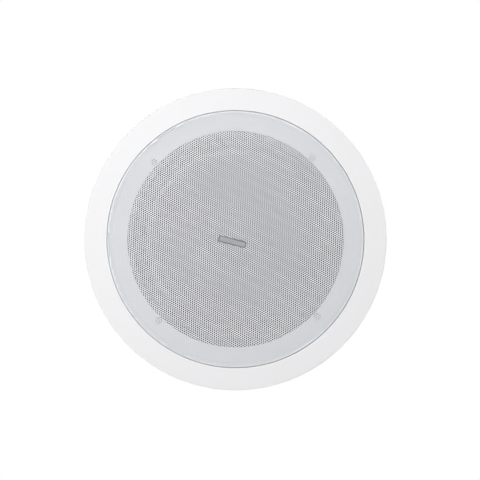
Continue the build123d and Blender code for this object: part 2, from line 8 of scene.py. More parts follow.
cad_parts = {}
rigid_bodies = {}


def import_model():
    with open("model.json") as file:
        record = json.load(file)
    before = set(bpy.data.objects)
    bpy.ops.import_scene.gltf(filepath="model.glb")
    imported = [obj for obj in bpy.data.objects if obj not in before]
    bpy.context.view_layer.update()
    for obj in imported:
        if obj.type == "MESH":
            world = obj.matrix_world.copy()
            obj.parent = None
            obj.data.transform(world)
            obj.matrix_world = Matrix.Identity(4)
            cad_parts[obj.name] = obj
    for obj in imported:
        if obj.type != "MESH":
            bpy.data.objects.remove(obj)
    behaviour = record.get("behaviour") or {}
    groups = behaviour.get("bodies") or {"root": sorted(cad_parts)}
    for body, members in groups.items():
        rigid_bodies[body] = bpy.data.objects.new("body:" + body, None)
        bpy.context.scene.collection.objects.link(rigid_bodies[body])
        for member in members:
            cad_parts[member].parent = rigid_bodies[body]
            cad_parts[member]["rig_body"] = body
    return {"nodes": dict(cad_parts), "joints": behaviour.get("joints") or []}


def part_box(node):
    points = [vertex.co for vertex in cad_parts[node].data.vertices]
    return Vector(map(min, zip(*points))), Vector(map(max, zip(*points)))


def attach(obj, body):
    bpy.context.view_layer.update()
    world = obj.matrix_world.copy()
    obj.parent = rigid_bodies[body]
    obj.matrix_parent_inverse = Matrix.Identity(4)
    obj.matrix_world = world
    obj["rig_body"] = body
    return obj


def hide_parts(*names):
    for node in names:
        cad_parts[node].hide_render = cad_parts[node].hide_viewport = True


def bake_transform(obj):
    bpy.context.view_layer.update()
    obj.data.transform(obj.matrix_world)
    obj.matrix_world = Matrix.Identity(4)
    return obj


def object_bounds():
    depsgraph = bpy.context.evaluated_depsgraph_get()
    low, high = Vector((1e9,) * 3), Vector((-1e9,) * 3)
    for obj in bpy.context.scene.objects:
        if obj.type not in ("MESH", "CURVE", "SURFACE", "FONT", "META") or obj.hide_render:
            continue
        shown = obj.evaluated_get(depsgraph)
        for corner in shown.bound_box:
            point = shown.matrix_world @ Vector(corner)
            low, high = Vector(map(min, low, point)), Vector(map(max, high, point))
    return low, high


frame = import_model()
cad_low, cad_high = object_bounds()

# Bezel: one white ABS moulding with the flange, the skirt, the baffle ring and the two clip towers.
# Its face is a plain satin surface, and every corner has the small radius that the mould leaves.
# The round on the flange's rim is drawn tighter than the solid's, to a share of its radius.
mm = 0.001
weld_gap = 0.002 * mm
flat_angle = math.radians(0.5)
moulding_edge = 0.25 * mm
flange_radius = cad_high.x
flange_round = 1.5 * mm
round_share = 0.3


def build_grain_group():
    """Shared surface grain: a fine grain and a broad cloud, both from the coordinates that it is given."""
    group = bpy.data.node_groups.new("surface_grain", "ShaderNodeTree")
    group.interface.new_socket("Vector", in_out="INPUT", socket_type="NodeSocketVector")
    entry = group.nodes.new("NodeGroupInput")
    leave = group.nodes.new("NodeGroupOutput")
    for name, detail in (("Grain", 5.0), ("Cloud", 3.0)):
        group.interface.new_socket(name + " Scale", in_out="INPUT", socket_type="NodeSocketFloat")
        group.interface.new_socket(name, in_out="OUTPUT", socket_type="NodeSocketFloat")
        noise = group.nodes.new("ShaderNodeTexNoise")
        noise.inputs["Detail"].default_value = detail
        group.links.new(entry.outputs["Vector"], noise.inputs["Vector"])
        group.links.new(entry.outputs[name + " Scale"], noise.inputs["Scale"])
        group.links.new(noise.outputs[0], leave.inputs[name])
    return group


grain_group = build_grain_group()
cloud_span = (0.35, 0.65)
grain_span = (0.3, 0.7)


def finish(name, dark, light, roughness, grain, cloud, bump, metallic=0.0, stretch=(1.0, 1.0, 1.0)):
    """Material of one finish: two close tones in clouds, and a grain that varies the gloss and the height.
    Roughness is a pair of limits, grain and cloud are patches per metre, bump is a height in metres."""
    material = bpy.data.materials.new(name)
    material.use_nodes = True
    nodes = material.node_tree.nodes
    links = material.node_tree.links
    shader = nodes["Principled BSDF"]
    shader.inputs["Metallic"].default_value = metallic
    place = nodes.new("ShaderNodeTexCoord")
    turn = nodes.new("ShaderNodeMapping")
    turn.inputs["Scale"].default_value = stretch
    surface = nodes.new("ShaderNodeGroup")
    surface.node_tree = grain_group
    surface.inputs["Grain Scale"].default_value = grain
    surface.inputs["Cloud Scale"].default_value = cloud
    tones = nodes.new("ShaderNodeValToRGB")
    for stop, limit, colour in zip(tones.color_ramp.elements, cloud_span, (dark, light)):
        stop.position = limit
        stop.color = (*colour, 1.0)
    gloss = nodes.new("ShaderNodeMapRange")
    for end, limit, value in zip(("Min", "Max"), grain_span, roughness):
        gloss.inputs["From " + end].default_value = limit
        gloss.inputs["To " + end].default_value = value
    relief = nodes.new("ShaderNodeBump")
    relief.name = "relief"
    relief.inputs["Distance"].default_value = bump
    links.new(place.outputs["Object"], turn.inputs["Vector"])
    links.new(turn.outputs["Vector"], surface.inputs["Vector"])
    links.new(surface.outputs["Cloud"], tones.inputs["Fac"])
    links.new(tones.outputs["Color"], shader.inputs["Base Color"])
    links.new(surface.outputs["Grain"], gloss.inputs["Value"])
    links.new(gloss.outputs["Result"], shader.inputs["Roughness"])
    links.new(surface.outputs["Grain"], relief.inputs["Height"])
    links.new(relief.outputs["Normal"], shader.inputs["Normal"])
    return material


def activate(piece):
    """Leave one piece selected and active, as a click on it does."""
    bpy.ops.object.select_all(action="DESELECT")
    piece.select_set(True)
    bpy.context.view_layer.objects.active = piece


def apply_modifier(piece, kind, **settings):
    """Add a modifier to a piece with its settings, and apply it."""
    activate(piece)
    modifier = piece.modifiers.new(kind.lower(), kind)
    for setting, value in settings.items():
        setattr(modifier, setting, value)
    bpy.ops.object.modifier_apply(modifier=modifier.name)


def merged_copy(node, name):
    """Copy of a CAD node with its loose triangles merged and its flat faces made whole."""
    piece = bpy.data.objects.new(name, frame["nodes"][node].data.copy())
    bpy.context.scene.collection.objects.link(piece)
    piece.data.materials.clear()
    activate(piece)
    bpy.ops.mesh.customdata_custom_splitnormals_clear()
    bpy.ops.object.mode_set(mode="EDIT")
    bpy.ops.mesh.select_all(action="SELECT")
    bpy.ops.mesh.remove_doubles(threshold=weld_gap)
    bpy.ops.mesh.dissolve_limited(angle_limit=flat_angle)
    bpy.ops.object.mode_set(mode="OBJECT")
    return piece


def rows(items, name):
    """Array with a row of three numbers for each corner or face of a mesh, such as its place."""
    values = np.zeros(len(items) * 3)
    items.foreach_get(name, values)
    return values.reshape(-1, 3)


def smooth(piece, crease):
    """Shade a piece smooth, apart from the edges that turn by more than an angle in degrees."""
    activate(piece)
    bpy.ops.object.shade_smooth_by_angle(angle=math.radians(crease))


def soften(piece, edge, crease=38.0):
    """Break every sharp edge of a piece with a small round, and smooth what is left."""
    apply_modifier(
        piece,
        "BEVEL",
        width=edge,
        segments=2,
        limit_method="ANGLE",
        angle_limit=math.radians(crease),
        use_clamp_overlap=True,
        miter_outer="MITER_ARC",
    )
    smooth(piece, crease)
    apply_modifier(piece, "WEIGHTED_NORMAL", keep_sharp=True)


def settle(piece, material, slot, *nodes):
    """Give a piece its material, and let it stand for CAD nodes and ride on their body; the slot is not
    used.
    """
    piece.data.materials.clear()
    piece.data.materials.append(material)
    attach(piece, frame["nodes"][nodes[0]]["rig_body"])
    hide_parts(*nodes)


white_moulding = finish(
    "white_moulding",
    dark=(0.852, 0.847, 0.860),
    light=(0.862, 0.857, 0.870),
    roughness=(0.36, 0.50),
    grain=2600.0,
    cloud=14.0,
    bump=0.012 * mm,
)
bezel = merged_copy("bezel", "bezel_moulding")
places = rows(bezel.data.vertices, "co")
radius = np.hypot(places[:, 0], places[:, 1])
round_reach = flange_round + moulding_edge / 10
on_round = (radius > flange_radius - round_reach) & (places[:, 2] < round_reach)
new_radius = flange_radius - (flange_radius - radius) * round_share
places[on_round, :2] *= (new_radius / radius)[on_round, None]
places[on_round, 2] *= round_share
bezel.data.vertices.foreach_set("co", places.ravel())
soften(bezel, moulding_edge)
settle(bezel, white_moulding, "white_moulding", "bezel")

# Gasket: a ring of dark pressed card, cut with a die and glued to the basket's rim.
# It lies between the rim and the baffle ring, and keeps air from leaking round the driver.
gasket_edge = 0.1 * mm
gasket_card = finish(
    "gasket_card",
    dark=(0.018, 0.018, 0.018),
    light=(0.035, 0.034, 0.032),
    roughness=(0.75, 0.95),
    grain=1800.0,
    cloud=300.0,
    bump=0.05 * mm,
)


def dress(node, name, edge, material, slot, crease=38.0):
    """Stand a softened copy of a CAD node in for the node, with its own material."""
    piece = merged_copy(node, name)
    soften(piece, edge, crease)
    settle(piece, material, slot, node)


dress("front_gasket", "gasket_ring", gasket_edge, gasket_card, "gasket_card")

# Basket: a bowl pressed from sheet steel, with four windows and three ears, painted black.
# Four screws hold its rim to the baffle ring, and the paint has a slight orange peel.
basket_edge = 0.2 * mm
black_paint = finish(
    "black_paint",
    dark=(0.012, 0.012, 0.013),
    light=(0.022, 0.022, 0.024),
    roughness=(0.30, 0.46),
    grain=900.0,
    cloud=60.0,
    bump=0.03 * mm,
)
dress("basket", "basket_pressing", basket_edge, black_paint, "basket_paint")

# Surround: a half roll of black rubber with a flat lip on the basket's rim and one on the cone.
# It rolls as the cone moves.
surround_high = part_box("surround")[1]
cone_low, cone_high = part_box("cone")
surround_sheet = 0.8 * mm
surround_lip = 3.4 * mm
cone_lip = 2.8 * mm
roll_steps = 20
turn_steps = 180
sheet_crease = 40.0


def weld(piece):
    """Merge the doubled corners of a piece, and turn its faces outwards."""
    activate(piece)
    bpy.ops.object.mode_set(mode="EDIT")
    bpy.ops.mesh.select_all(action="SELECT")
    bpy.ops.mesh.remove_doubles(threshold=weld_gap)
    bpy.ops.mesh.normals_make_consistent(inside=False)
    bpy.ops.object.mode_set(mode="OBJECT")


def spun(name, profile, steps):
    """Sheet turned round the speaker's axis from a profile of (radius, height) points."""
    mesh = bpy.data.meshes.new(name)
    points = [(radius, 0.0, height) for radius, height in profile]
    mesh.from_pydata(points, [(index, index + 1) for index in range(len(points) - 1)], [])
    piece = bpy.data.objects.new(name, mesh)
    bpy.context.scene.collection.objects.link(piece)
    activate(piece)
    bpy.ops.object.mode_set(mode="EDIT")
    bpy.ops.mesh.select_all(action="SELECT")
    bpy.ops.mesh.spin(steps=steps, angle=2 * math.pi, center=(0, 0, 0), axis=(0, 0, 1))
    bpy.ops.object.mode_set(mode="OBJECT")
    weld(piece)
    return piece


def thicken(piece, thickness):
    """Give a sheet its thickness, half on each side, and smooth it."""
    apply_modifier(piece, "SOLIDIFY", thickness=thickness, offset=0.0)
    smooth(piece, sheet_crease)


def follow_by_radius(piece):
    """Bake a round sheet's place into its mesh, and read the places of its corners."""
    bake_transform(piece)
    places = rows(piece.data.vertices, "co")


surround_radius = surround_high.x
roll_outer = surround_radius - surround_lip
roll_inner = cone_high.x
roll_middle = (roll_outer + roll_inner) / 2
roll_radius = (roll_outer - roll_inner - surround_sheet) / 2
sheet_height = surround_high.z - surround_sheet / 2
profile = [(roll_inner - cone_lip, sheet_height)]
for step in range(roll_steps + 1):
    angle = math.pi * step / roll_steps
    across = roll_radius * math.cos(angle)
    down = roll_radius * math.sin(angle)
    profile.append((roll_middle - across, sheet_height - down))
profile.append((surround_radius - surround_sheet / 4, sheet_height))
surround = spun("surround_roll", profile, turn_steps)
thicken(surround, surround_sheet)
surround_rubber = finish(
    "surround_rubber",
    dark=(0.010, 0.010, 0.011),
    light=(0.018, 0.018, 0.019),
    roughness=(0.10, 0.20),
    grain=1500.0,
    cloud=120.0,
    bump=0.006 * mm,
)
surround.data.materials.append(surround_rubber)
follow_by_radius(surround)
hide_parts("surround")

# Cone: pressed paper with shallow rings and a flat glue lip under the surround.
# The pulp shows as short fibres in the grey black paper.
cone_paper = 0.8 * mm
rib_count = 9
rib_height = 0.22 * mm
wall_steps = 72
neck_radius = 13.0 * mm
wall_outer = cone_high.x - cone_lip
neck_height = cone_high.z - cone_paper
rim_height = cone_low.z + cone_paper / 2
profile = []
for step in range(wall_steps + 1):
    share = step / wall_steps
    wave = rib_height * math.sin(2 * math.pi * rib_count * share) * math.sin(math.pi * share)
    radius = neck_radius + share * (wall_outer - neck_radius)
    profile.append((radius, neck_height + share * (rim_height - neck_height) + wave))
profile.append((cone_high.x - cone_paper / 4, rim_height))
cone = spun("cone_pressing", profile, turn_steps)
thicken(cone, cone_paper)
pulp = finish(
    "pulp_paper",
    dark=(0.017, 0.021, 0.031),
    light=(0.033, 0.040, 0.058),
    roughness=(0.72, 0.92),
    grain=1400.0,
    cloud=700.0,
    bump=0.09 * mm,
)
settle(cone, pulp, "cone_paper", "cone")

# Dust cap: a shallow dome pressed from the same paper as the cone.
# It is glued over the cone's neck, and keeps dust out of the magnet's gap.
cap_low, cap_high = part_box("dust_cap")
cap_paper = 0.6 * mm
cap_rise = 6.5 * mm
cap_steps = 24
cap_turn_steps = 96
cap_radius = cap_high.x
cap_ball = (cap_radius**2 + cap_rise**2) / (2 * cap_rise)
cap_edge = math.asin(cap_radius / cap_ball)
sheet_ball = cap_ball - cap_paper / 2
profile = []
for step in range(cap_steps + 1):
    angle = cap_edge * step / cap_steps
    profile.append((sheet_ball * math.sin(angle), cap_low.z + cap_ball - sheet_ball * math.cos(angle)))
dust_cap = spun("dust_cap_dome", profile, cap_turn_steps)
thicken(dust_cap, cap_paper)
settle(dust_cap, pulp, "cone_paper", "dust_cap")

# Spider: a disc of varnished cloth with round waves, from the coil's tube to the basket's landing.
# It flexes as the cone moves, like the surround.
spider_low, spider_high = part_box("spider")
former_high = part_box("voice_coil_former")[1]
spider_sheet = 0.6 * mm
spider_wave = 0.7 * mm
spider_wave_count = 5
spider_steps = 12 * spider_wave_count
spider_turn_steps = 120
spider_lip = 5.0 * mm
glue_gap = 0.3 * mm
spider_inner = former_high.x + glue_gap
spider_outer = spider_high.x
spider_fold = spider_outer - spider_lip
spider_height = (spider_low.z + spider_high.z) / 2
profile = []
for step in range(spider_steps + 1):
    share = step / spider_steps
    wave = spider_wave * math.sin(2 * math.pi * spider_wave_count * share)
    profile.append((spider_inner + share * (spider_fold - spider_inner), spider_height - wave))
profile.append((spider_outer - spider_sheet / 4, spider_height))
spider = spun("spider_cloth", profile, spider_turn_steps)
thicken(spider, spider_sheet)
varnished_cloth = finish(
    "varnished_cloth",
    dark=(0.30, 0.16, 0.045),
    light=(0.42, 0.25, 0.085),
    roughness=(0.45, 0.75),
    grain=1200.0,
    cloud=180.0,
    bump=0.04 * mm,
)
spider.data.materials.append(varnished_cloth)
follow_by_radius(spider)
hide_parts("spider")

# Voice coil: enamelled copper wire wound on a tube of foil, which is glued to the cone's neck.
# The winding stands deep in the magnet's gap, and its turns show as fine lines round it.
former_edge = 0.05 * mm
coil_edge = 0.1 * mm
foil = finish(
    "former_foil",
    dark=(0.62, 0.62, 0.64),
    light=(0.75, 0.75, 0.76),
    roughness=(0.22, 0.36),
    grain=700.0,
    cloud=90.0,
    bump=0.01 * mm,
    metallic=1.0,
)
enamelled_copper = finish(
    "enamelled_copper",
    dark=(0.42, 0.15, 0.06),
    light=(0.62, 0.25, 0.10),
    roughness=(0.25, 0.40),
    grain=400.0,
    cloud=100.0,
    bump=0.02 * mm,
    metallic=1.0,
    stretch=(1.0, 1.0, 12.0),
)
dress("voice_coil_former", "former_tube", former_edge, foil, "former_foil")
dress("voice_coil_winding", "coil_winding", coil_edge, enamelled_copper, "copper")

# Magnet motor: a ferrite ring between a plated top plate and a turned yoke, glued in one stack.
# The ferrite is ground and a little chalky, and the steel keeps the rings of the lathe.
plate_edge = 0.25 * mm
magnet_edge = 0.3 * mm
motor_crease = 25.0
lathe_ring_scale = 420.0
lathe_ring_waver = 0.6
ferrite = finish(
    "ferrite",
    dark=(0.020, 0.020, 0.021),
    light=(0.040, 0.040, 0.041),
    roughness=(0.55, 0.80),
    grain=2200.0,
    cloud=160.0,
    bump=0.03 * mm,
)
plated_steel = finish(
    "plated_steel",
    dark=(0.34, 0.34, 0.32),
    light=(0.50, 0.49, 0.46),
    roughness=(0.26, 0.44),
    grain=1300.0,
    cloud=55.0,
    bump=0.01 * mm,
    metallic=1.0,
)
turned_steel = plated_steel.copy()
turned_steel.name = "turned_steel"
nodes = turned_steel.node_tree.nodes
links = turned_steel.node_tree.links
rings = nodes.new("ShaderNodeTexWave")
rings.wave_type = "RINGS"
rings.rings_direction = "Z"
rings.inputs["Scale"].default_value = lathe_ring_scale
rings.inputs["Distortion"].default_value = lathe_ring_waver
links.new(nodes["Mapping"].outputs["Vector"], rings.inputs["Vector"])
links.new(rings.outputs["Fac"], nodes["relief"].inputs["Height"])
dress("top_plate", "top_plate_ring", plate_edge, plated_steel, "plated_steel", motor_crease)
dress("ring_magnet", "ferrite_ring", magnet_edge, ferrite, "ferrite", motor_crease)
dress("yoke", "yoke_forging", plate_edge, turned_steel, "plated_steel", motor_crease)

# Screws: pan-head machine screws, dull zinc ones for the driver and bright ones for the transformer and
# the terminal block. Each has a cross recess in its head and a thread, made here as fine rings.
# The head's outline is given in shares of its radius and height, from the middle of the top to the seat.
head_radius = 2.5 * mm
head_height = 2.0 * mm
head_outline = ((0.0, 1.0), (0.45, 0.97), (0.75, 0.82), (0.95, 0.50), (1.0, 0.2), (1.0, 0.0))
head_turn = 0.6
head_turn_step = 0.9
shank_radius = 1.5 * mm
thread_pitch = 0.5 * mm
thread_depth = 0.22 * mm
recess_width = 0.7 * mm
recess_length = 2.9 * mm
recess_depth = 1.1 * mm
screw_turn_steps = 24
screw_crease = 30.0
dull_zinc = finish(
    "dull_zinc",
    dark=(0.52, 0.52, 0.51),
    light=(0.64, 0.64, 0.62),
    roughness=(0.55, 0.70),
    grain=1500.0,
    cloud=300.0,
    bump=0.01 * mm,
    metallic=0.4,
)
bright_steel = finish(
    "bright_steel",
    dark=(0.40, 0.40, 0.39),
    light=(0.56, 0.56, 0.54),
    roughness=(0.22, 0.36),
    grain=1600.0,
    cloud=220.0,
    bump=0.008 * mm,
    metallic=1.0,
)


def solid_boxes(node):
    """Lowest and highest corners of each separate solid in a CAD node."""
    merged_copy(node, node + "_solids")
    bpy.ops.object.mode_set(mode="EDIT")
    bpy.ops.mesh.select_all(action="SELECT")
    bpy.ops.mesh.separate(type="LOOSE")
    bpy.ops.object.mode_set(mode="OBJECT")
    boxes = []
    for solid in list(bpy.context.selected_objects):
        corners = [Vector(corner) for corner in solid.bound_box]
        boxes.append((corners[0], corners[6]))
        bpy.data.objects.remove(solid)
    return sorted(boxes, key=lambda box: (round(box[0].x, 5), round(box[0].y, 5)))


def standing(boxes, first_turn, turn_step, head_up=True):
    """Places for pieces that stand in boxes, head up or head down, each turned further than the last."""
    over = Matrix.Identity(4) if head_up else Matrix.Rotation(math.pi, 4, "X")
    places = []
    for index, (low, high) in enumerate(boxes):
        middle = (low + high) / 2
        base = low.z if head_up else high.z
        move = Matrix.Translation((middle.x, middle.y, base))
        places.append(move @ over @ Matrix.Rotation(first_turn + turn_step * index, 4, "Z"))
    return places


def cut(piece, size, places):
    """Cut a box of one size out of a piece at each (place, turn about the upright)."""
    for place, turn in places:
        bpy.ops.object.select_all(action="DESELECT")
        bpy.ops.mesh.primitive_cube_add(size=1.0, location=place, rotation=(0, 0, turn), scale=size)
        tool = bpy.context.active_object
        apply_modifier(piece, "BOOLEAN", object=tool, operation="DIFFERENCE", solver="EXACT")
        bpy.data.objects.remove(tool)


def join_copies(first, places, name):
    """Copies of a piece, each with its own mesh, moved to places and joined under one name."""
    copies = []
    for place in places:
        copy = first.copy()
        copy.data = first.data.copy()
        copy.data.transform(place)
        bpy.context.scene.collection.objects.link(copy)
        copies.append(copy)
    bpy.data.objects.remove(first)
    activate(copies[0])
    for copy in copies:
        copy.select_set(True)
    bpy.ops.object.join()
    copies[0].name = name
    return copies[0]


def pan_screw(length):
    """One screw that stands on its thread's end, with its head on top and its seat at a length."""
    head = [(across * head_radius, length + up * head_height) for across, up in head_outline]
    thread = []
    for ring in range(int(length / thread_pitch)):
        height = length - ring * thread_pitch
        thread.append((shank_radius - thread_depth, height))
        thread.append((shank_radius, height - thread_pitch / 2))
    tip = [(shank_radius - thread_depth, thread_pitch / 4), (0.0, 0.0)]
    screw = spun("screw", head + thread + tip, screw_turn_steps)
    top = (0, 0, length + head_height)
    cut(screw, (recess_length, recess_width, 2 * recess_depth), [(top, 0.0), (top, math.pi / 2)])
    smooth(screw, screw_crease)
    return screw


def place_screws(node, name, head_up, material, slot):
    """Screws of one node, where the CAD's solids stand, each turned a little differently."""
    boxes = solid_boxes(node)
    height = boxes[0][1].z - boxes[0][0].z
    places = standing(boxes, head_turn, head_turn_step, head_up)
    screws = join_copies(pan_screw(height - head_height), places, name)
    settle(screws, material, slot, node)


place_screws("driver_screws", "driver_screw_set", False, dull_zinc, "bright_screw")
place_screws("transformer_screws", "transformer_screw_set", True, bright_steel, "bright_screw")
place_screws("block_screws", "block_screw_set", True, bright_steel, "bright_screw")

# Nuts: plated steel hexagon nuts behind the basket's rim and under its ears.
# They hold the screws of the driver, the transformer and the terminal block.
nut_edge = 0.3 * mm
dress("driver_nuts", "driver_nut_set", nut_edge, bright_steel, "bright_screw")
dress("ear_nuts", "ear_nut_set", nut_edge, bright_steel, "bright_screw")

# Transformer: a core of varnished steel plates with a nylon bobbin, a taped winding and a steel strap.
# The plates show as fine lines across the stack, and the tape as a few long seams.
transformer_edge = 0.2 * mm
tape_edge = 0.5 * mm
core_line_pitch = 2.0 * mm
core_line_depth = 0.12 * mm
tape_pitch = 6.5 * mm
tape_step = 0.1 * mm
line_waver = 0.4
wave_period = 0.314


def add_lines(material, direction, pitch):
    """Fine straight lines across a material, as its relief: the edges of plates or turns of tape."""
    nodes = material.node_tree.nodes
    links = material.node_tree.links
    lines = nodes.new("ShaderNodeTexWave")
    lines.wave_type = "BANDS"
    lines.bands_direction = direction
    lines.inputs["Scale"].default_value = wave_period / pitch
    lines.inputs["Distortion"].default_value = line_waver
    lines.inputs["Detail"].default_value = 1.0
    links.new(nodes["Mapping"].outputs["Vector"], lines.inputs["Vector"])
    links.new(lines.outputs["Fac"], nodes["relief"].inputs["Height"])


core_steel = finish(
    "core_plates",
    dark=(0.052, 0.050, 0.050),
    light=(0.095, 0.092, 0.090),
    roughness=(0.34, 0.52),
    grain=600.0,
    cloud=420.0,
    bump=core_line_depth,
    metallic=0.6,
    stretch=(0.25, 4.0, 0.25),
)
add_lines(core_steel, "Y", core_line_pitch)
nylon = finish(
    "natural_nylon",
    dark=(0.62, 0.59, 0.50),
    light=(0.72, 0.69, 0.60),
    roughness=(0.38, 0.55),
    grain=1500.0,
    cloud=70.0,
    bump=0.015 * mm,
)
tape = finish(
    "coil_tape",
    dark=(0.50, 0.30, 0.018),
    light=(0.66, 0.43, 0.035),
    roughness=(0.18, 0.34),
    grain=300.0,
    cloud=110.0,
    bump=tape_step,
)
add_lines(tape, "Z", tape_pitch)
dress("transformer_core", "core_stack", transformer_edge, core_steel, "core_plates")
dress("transformer_bobbin", "bobbin_moulding", transformer_edge, nylon, "bobbin_nylon")
dress("transformer_winding", "taped_winding", tape_edge, tape, "coil_tape")
dress("transformer_bracket", "core_strap", transformer_edge, plated_steel, "plated_steel")

# Terminal block: a natural nylon moulding with three ways, screwed to one of the basket's ears.
# Each way has a slotted clamp screw at both sides, turned from steel, and no two slots lie alike.
block_edge = 0.25 * mm
slot_width = 0.7 * mm
slot_depth = 0.9 * mm
slot_turn = 0.4
slot_turn_step = 1.1
clamp_round = 0.35 * mm
clamp_corner = 0.3 * clamp_round
clamp_turn_steps = 28
clamp_crease = 38.0
dress("terminal_block", "terminal_moulding", block_edge, nylon, "block_nylon")
clamp_boxes = solid_boxes("terminal_screws")
clamp_size = clamp_boxes[0][1] - clamp_boxes[0][0]
clamp_radius = clamp_size.x / 2
profile = [
    (0.0, clamp_size.z),
    (clamp_radius - clamp_round, clamp_size.z),
    (clamp_radius - clamp_corner, clamp_size.z - clamp_corner),
    (clamp_radius, clamp_size.z - clamp_round),
    (clamp_radius, 0.0),
    (0.0, 0.0),
]
clamp = spun("clamp_screw", profile, clamp_turn_steps)
cut(clamp, (2 * clamp_size.x, slot_width, 2 * slot_depth), [((0, 0, clamp_size.z), 0.0)])
smooth(clamp, clamp_crease)
clamps = join_copies(clamp, standing(clamp_boxes, slot_turn, slot_turn_step), "clamp_screw_set")
settle(clamps, bright_steel, "bright_screw", "terminal_screws")

# Tag strip: a strip of brown phenolic board on the basket's third ear.
# It carries two solder tags, stamped from tinned brass sheet.
tag_edge = 0.15 * mm
phenolic = finish(
    "phenolic_board",
    dark=(0.085, 0.032, 0.012),
    light=(0.125, 0.050, 0.020),
    roughness=(0.30, 0.5),
    grain=800.0,
    cloud=200.0,
    bump=0.02 * mm,
    stretch=(1.0, 0.15, 1.0),
)
tinned_brass = finish(
    "tinned_brass",
    dark=(0.55, 0.46, 0.26),
    light=(0.70, 0.64, 0.48),
    roughness=(0.22, 0.40),
    grain=900.0,
    cloud=260.0,
    bump=0.02 * mm,
    metallic=1.0,
)
dress("tag_strip", "tag_board", tag_edge, phenolic, "phenolic")
dress("solder_tags", "solder_tag_pair", tag_edge, tinned_brass, "brass_tag")

# Spring clips: on each side a steel bracket riveted to its tower, with an arm on a headed pin.
# A torsion spring of round wire winds on the pin, braces on the bracket and presses the arm down.
# Its outer leg has a joggle, which lifts it from the coil's height to the outside of the arm's web.
clip_edge = 0.2 * mm
pin_edge = 0.35 * mm
rivet_edge = 0.4 * mm
arm_rest = math.radians(-72.0)
web_outer = 5.3 * mm
spring_wire = 1.5 * mm
wire_crease = 50.0
coil_radius = 3.0 * mm
coil_half = 2.4 * mm
coil_turns = 2
coil_steps = 24
leg_foot = 0.9 * mm
leg_reach = 13.0 * mm
joggle_start = 2.6 * mm
joggle_end = 5.8 * mm
joggle_bend = 0.5 * mm
joggle_lift = 0.25 * mm
spring_steel = finish(
    "spring_steel",
    dark=(0.26, 0.26, 0.27),
    light=(0.38, 0.38, 0.38),
    roughness=(0.22, 0.36),
    grain=1500.0,
    cloud=240.0,
    bump=0.008 * mm,
    metallic=1.0,
)


def wire(name, points, thickness):
    """Round wire bent along a line of points, with closed ends."""
    curve = bpy.data.curves.new(name, "CURVE")
    curve.dimensions = "3D"
    curve.bevel_depth = thickness / 2
    curve.bevel_resolution = 3
    curve.use_fill_caps = True
    line = curve.splines.new("POLY")
    line.points.add(len(points) - 1)
    for point, place in zip(line.points, points):
        point.co = (*place, 1.0)
    piece = bpy.data.objects.new(name, curve)
    bpy.context.scene.collection.objects.link(piece)
    activate(piece)
    bpy.ops.object.convert(target="MESH")
    piece = bpy.context.active_object
    weld(piece)
    smooth(piece, wire_crease)
    return piece


def spring_line(pivot, foot):
    """Line of the right clip's spring: up the bracket, round the pin, and out over the arm's web."""
    along = Vector((math.cos(arm_rest), 0, math.sin(arm_rest)))
    out = Vector((-math.sin(arm_rest), 0, math.cos(arm_rest)))
    points = [Vector((pivot.x - coil_radius, -coil_half, foot))]
    sweep = math.pi - (arm_rest + math.pi / 2) + 2 * math.pi * coil_turns
    steps = int(coil_steps * sweep / (2 * math.pi))
    for step in range(steps + 1):
        angle = math.pi - sweep * step / steps
        side = coil_half * (2 * step / steps - 1)
        points.append(pivot + Vector((coil_radius * math.cos(angle), side, coil_radius * math.sin(angle))))
    over = web_outer + spring_wire / 2
    for reach, height in (
        (joggle_start, coil_radius),
        (joggle_start + joggle_bend, coil_radius + joggle_lift),
        (joggle_end - joggle_bend, over - joggle_lift),
        (joggle_end, over),
        (leg_reach, over),
    ):
        points.append(pivot + Vector((0, coil_half, 0)) + along * reach + out * height)
    return points


hinges = {joint["name"]: Vector(joint["pos_m"]) for joint in frame["joints"] if joint["type"] == "hinge"}
bracket_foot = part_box("clip_bracket_right")[0].z
right_line = spring_line(hinges["right_clip"], bracket_foot + leg_foot)
for side, sign in (("right", 1), ("left", -1)):
    dress("clip_bracket_" + side, "bracket_" + side, clip_edge, plated_steel, "plated_steel")
    dress("clip_arm_" + side, "arm_" + side, clip_edge, plated_steel, "plated_steel")
    dress("clip_pin_" + side, "pin_" + side, pin_edge, bright_steel, "bright_screw")
    line = [Vector((sign * point.x, sign * point.y, point.z)) for point in right_line]
    spring = wire("spring_" + side, line, spring_wire)
    spring.data.materials.append(spring_steel)
    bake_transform(spring)
    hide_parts("clip_spring_" + side)
dress("clip_rivets", "rivet_set", rivet_edge, bright_steel, "bright_screw")

# Grille: a pan drawn from perforated steel sheet and powder-coated white, pressed into the bezel's groove.
# Its six-sided holes stand in staggered rows and run on over the rounded edge, as in a pan that is drawn
# from a perforated blank; the sheet is made cell by cell, bent into the pan and kept in three strips.
grille_low, grille_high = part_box("grille")
hole_pitch = 1.5238 * mm
row_pitch = 1.2982 * mm
hole_width = 1.066 * mm
hole_sides = 6
row_angle = math.radians(88.95)
pan_shift = Vector((-0.075 * mm, -0.030 * mm, 0.0))
row_shift = Vector((0.510 * mm, -0.040 * mm, 0.0)) - pan_shift
grille_sheet = 0.6 * mm
grille_round = 0.7 * mm
grille_crease = 50.0
pan_radius = 89.17 * mm
strip_edge = 0.27 * pan_radius
flat_radius = pan_radius - grille_round
round_arc = math.pi / 2 * grille_round
wall_height = grille_high.z - grille_low.z - grille_round
hole_reach = 88.10 * mm
row_count = 2 * int(pan_radius / row_pitch / 2 + 1)
column_count = int(2 * pan_radius / hole_pitch + 3)
cell_radius = hole_pitch / math.sqrt(3)
row_step = 1.5 * cell_radius
edge_ring_count = 4
ring_radii = [*np.linspace(hole_reach + cell_radius, flat_radius + round_arc, edge_ring_count)]
ring_radii.append(ring_radii[-1] + wall_height)
rim_neighbours = 3


